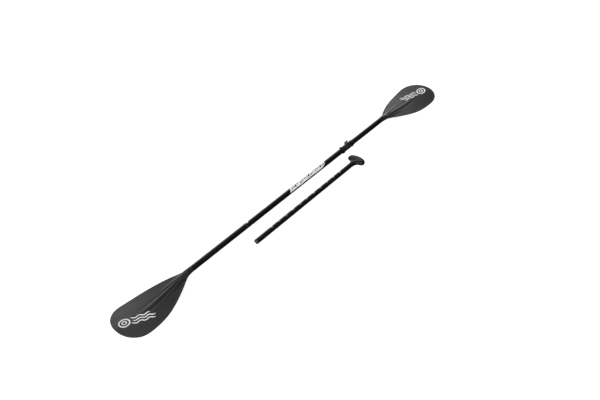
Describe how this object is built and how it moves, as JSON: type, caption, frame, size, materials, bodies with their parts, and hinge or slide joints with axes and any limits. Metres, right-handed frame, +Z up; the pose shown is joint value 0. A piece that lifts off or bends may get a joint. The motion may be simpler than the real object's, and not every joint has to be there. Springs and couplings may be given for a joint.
{
  "type": "kayak paddle",
  "caption": "Convertible double-bladed kayak paddle with a jointed shaft, lever clamp and snap button, lying flat beside its spare T-handle section.",
  "frame": {"origin": "the middle of the shaft, on its axis, halfway between the two blade tips", "axes": "+X along the shaft towards the far blade, +Z up out of the blades' concave faces, -Y towards the loose handle section"},
  "size_m": [2.242, 0.2696, 0.0564],
  "materials": {
    "black_tube": "satin black coating on aluminium tube",
    "inner_tube": "satin black anodised aluminium tube",
    "blade_plastic": "charcoal moulded nylon, satin",
    "clamp_nylon": "black moulded nylon",
    "grip_plastic": "black moulded plastic, satin",
    "steel": "stainless steel",
    "label_vinyl": "white vinyl label",
    "print_white": "white print",
    "stopper_rubber": "black rubber",
    "float_foam": "closed-cell foam"
  },
  "bodies": {
    "middle_section": {"middle_tube": "black_tube", "shaft_label": "label_vinyl", "clamp_collar": "clamp_nylon", "clamp_bolt": "steel", "clamp_washer": "steel", "lever_pivot_pin": "steel"},
    "near_section": {"near_blade": "blade_plastic", "near_tube": "black_tube", "near_spigot": "inner_tube", "near_spigot_stopper": "stopper_rubber", "near_float_plug": "float_foam"},
    "snap_button": {"snap_button": "steel"},
    "clamp_lever": {"clamp_lever": "clamp_nylon", "index_pin": "steel"},
    "far_section": {"far_blade": "blade_plastic", "far_tube": "black_tube", "far_spigot": "inner_tube", "far_spigot_stopper": "stopper_rubber", "far_float_plug": "float_foam"},
    "handle_section": {"handle_tube": "inner_tube", "handle_end_plug": "grip_plastic", "handle_grip": "grip_plastic"}
  },
  "joints": [
    {"name": "near_pull", "type": "slide", "parent": "middle_section", "child": "near_section", "axis": [-1, 0, 0], "range_m": [0, 0.15]},
    {"name": "button_press", "type": "slide", "parent": "near_section", "child": "snap_button", "axis": [0, 0, -1], "range_m": [0, 0.004], "stiffness_N_per_m": 2000, "springref_m": -0.002, "deforming": ["snap_button"]},
    {"name": "lever_open", "type": "hinge", "parent": "middle_section", "child": "clamp_lever", "pos_m": [0.419, 0.0185, 0.014], "axis": [-1, 0, 0], "range_deg": [0, 100]},
    {"name": "far_pull", "type": "slide", "parent": "middle_section", "child": "far_section", "axis": [1, 0, 0], "range_m": [0, 0.15]},
    {"name": "handle_lift", "type": "slide", "parent": "middle_section", "child": "handle_section", "axis": [0, 0, 1], "range_m": [0, 0.25]}
  ]
}
